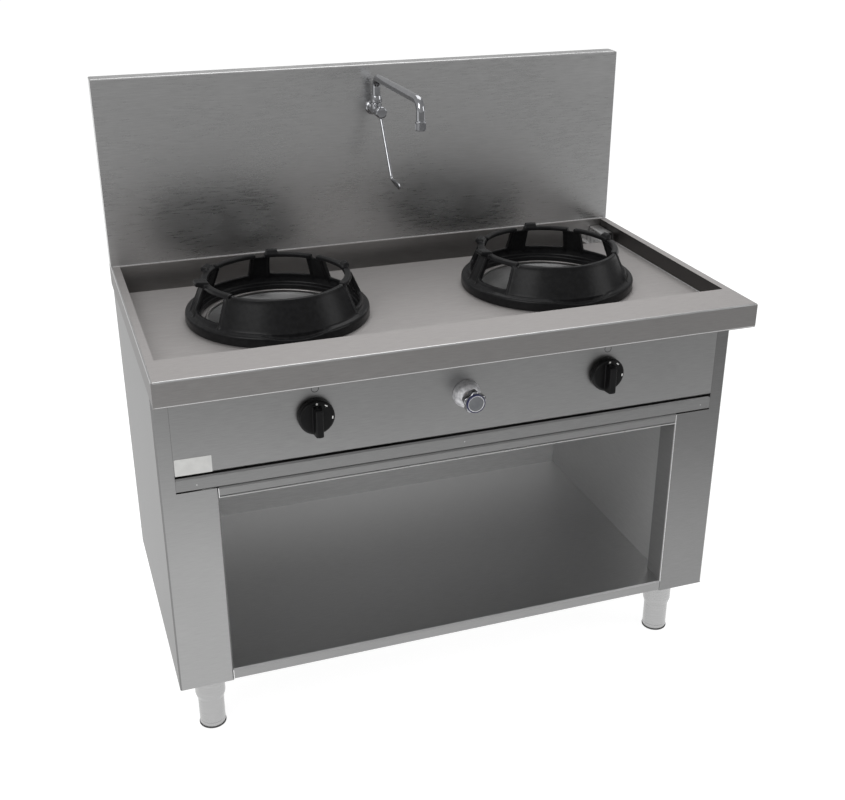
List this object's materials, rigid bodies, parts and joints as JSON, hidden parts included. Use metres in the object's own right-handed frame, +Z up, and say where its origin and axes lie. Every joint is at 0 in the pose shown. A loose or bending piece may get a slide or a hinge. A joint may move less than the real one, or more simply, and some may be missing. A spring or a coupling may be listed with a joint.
{
  "type": "wok range",
  "caption": "Free-standing steel wok range: deep-edged worktop with lift-off cast wok rings, rear gutter, splashback with swing-spout tap, control panel and open cupboard on adjustable feet.",
  "frame": {"origin": "on the floor, under the middle of the worktop", "axes": "+X to the right seen from the front, +Y to the back, +Z up"},
  "size_m": [1.2, 0.7, 1.26],
  "materials": {
    "brushed_steel": "satin brushed stainless steel",
    "pan_steel": "satin brushed stainless steel, lighter on the pan floor",
    "galvanised": "galvanised sheet and pipe",
    "cast_iron": "black enamelled casting, semi-gloss",
    "chrome": "polished chrome on brass",
    "brass": "machined",
    "black_plastic": "moulded, semi-matt",
    "black_rubber": "moulded, matt",
    "index_plastic": "moulded insert with a dark blue rim"
  },
  "bodies": {
    "cabinet": {"worktop": "pan_steel", "splashback": "brushed_steel", "splashback_back_cover": "brushed_steel", "rear_panel": "brushed_steel", "control_panel": "brushed_steel", "front_rail": "brushed_steel", "cupboard_ceiling": "brushed_steel", "bottom_shelf": "brushed_steel", "front_bearer": "galvanised", "rear_bearer": "galvanised", "left_side_panel": "brushed_steel", "right_side_panel": "brushed_steel", "left_inner_side": "brushed_steel", "right_inner_side": "brushed_steel", "left_base_channel": "galvanised", "right_base_channel": "galvanised", "front_left_foot_sleeve": "brushed_steel", "front_right_foot_sleeve": "brushed_steel", "rear_left_foot_sleeve": "brushed_steel", "rear_right_foot_sleeve": "brushed_steel", "left_burner_well": "brushed_steel", "right_burner_well": "brushed_steel", "left_burner": "cast_iron", "right_burner": "cast_iron", "left_gas_tap": "brass", "right_gas_tap": "brass", "left_gas_pipe": "brass", "right_gas_pipe": "brass", "gas_manifold": "galvanised", "drain_pipe": "brushed_steel", "water_valve_body": "brass", "valve_escutcheon": "chrome", "water_pipe": "brushed_steel", "water_inlet_pipe": "brushed_steel", "tap_flange": "chrome", "tap_body": "chrome", "swivel_nut": "chrome"},
    "left_gas_plug": {"left_tap_plug": "brass"},
    "left_gas_knob": {"left_tap_spindle": "chrome", "left_knob": "black_plastic"},
    "right_gas_plug": {"right_tap_plug": "brass"},
    "right_gas_knob": {"right_tap_spindle": "chrome", "right_knob": "black_plastic"},
    "water_handle": {"valve_spindle": "brass", "valve_handle": "chrome", "valve_index": "index_plastic"},
    "swing_spout": {"spout": "chrome", "aerator": "chrome"},
    "long_lever": {"tap_lever": "chrome"},
    "left_ring": {"left_wok_ring": "cast_iron"},
    "right_ring": {"right_wok_ring": "cast_iron"},
    "strainer": {"drain_strainer": "brushed_steel"},
    "front_left_foot": {"front_left_foot_stem": "brushed_steel", "front_left_foot_pad": "black_rubber"},
    "front_right_foot": {"front_right_foot_stem": "brushed_steel", "front_right_foot_pad": "black_rubber"},
    "rear_left_foot": {"rear_left_foot_stem": "brushed_steel", "rear_left_foot_pad": "black_rubber"},
    "rear_right_foot": {"rear_right_foot_stem": "brushed_steel", "rear_right_foot_pad": "black_rubber"}
  },
  "joints": [
    {"name": "left_knob_turn", "type": "hinge", "parent": "cabinet", "child": "left_gas_plug", "pos_m": [-0.297, -0.25, 0.718], "axis": [0, -1, 0], "range_deg": [0, 180]},
    {"name": "left_knob_push", "type": "slide", "parent": "left_gas_plug", "child": "left_gas_knob", "axis": [0, 1, 0], "range_m": [0, 0.004], "stiffness_N_per_m": 1500, "springref_m": -0.001},
    {"name": "right_knob_turn", "type": "hinge", "parent": "cabinet", "child": "right_gas_plug", "pos_m": [0.311, -0.25, 0.718], "axis": [0, -1, 0], "range_deg": [0, 180]},
    {"name": "right_knob_push", "type": "slide", "parent": "right_gas_plug", "child": "right_gas_knob", "axis": [0, 1, 0], "range_m": [0, 0.004], "stiffness_N_per_m": 1500, "springref_m": -0.001},
    {"name": "water_handle_turn", "type": "hinge", "parent": "cabinet", "child": "water_handle", "pos_m": [0.007, -0.29, 0.718], "axis": [0, -1, 0], "range_deg": [0, 180]},
    {"name": "spout_swing", "type": "hinge", "parent": "cabinet", "child": "swing_spout", "pos_m": [0, 0.277, 1.2], "axis": [0, 0, 1], "range_deg": [-90, 90]},
    {"name": "lever_turn", "type": "hinge", "parent": "cabinet", "child": "long_lever", "pos_m": [0, 0.244, 1.168], "axis": [0, -1, 0], "range_deg": [0, 90]},
    {"name": "left_ring_lift", "type": "slide", "parent": "cabinet", "child": "left_ring", "axis": [0, 0, 1], "range_m": [0, 0.15]},
    {"name": "right_ring_lift", "type": "slide", "parent": "cabinet", "child": "right_ring", "axis": [0, 0, 1], "range_m": [0, 0.15]},
    {"name": "strainer_lift", "type": "slide", "parent": "cabinet", "child": "strainer", "axis": [0, 0, 1], "range_m": [0, 0.08]},
    {"name": "front_left_foot_screw", "type": "slide", "parent": "cabinet", "child": "front_left_foot", "axis": [0, 0, -1], "range_m": [0, 0.04]},
    {"name": "front_right_foot_screw", "type": "slide", "parent": "cabinet", "child": "front_right_foot", "axis": [0, 0, -1], "range_m": [0, 0.04]},
    {"name": "rear_left_foot_screw", "type": "slide", "parent": "cabinet", "child": "rear_left_foot", "axis": [0, 0, -1], "range_m": [0, 0.04]},
    {"name": "rear_right_foot_screw", "type": "slide", "parent": "cabinet", "child": "rear_right_foot", "axis": [0, 0, -1], "range_m": [0, 0.04]}
  ]
}
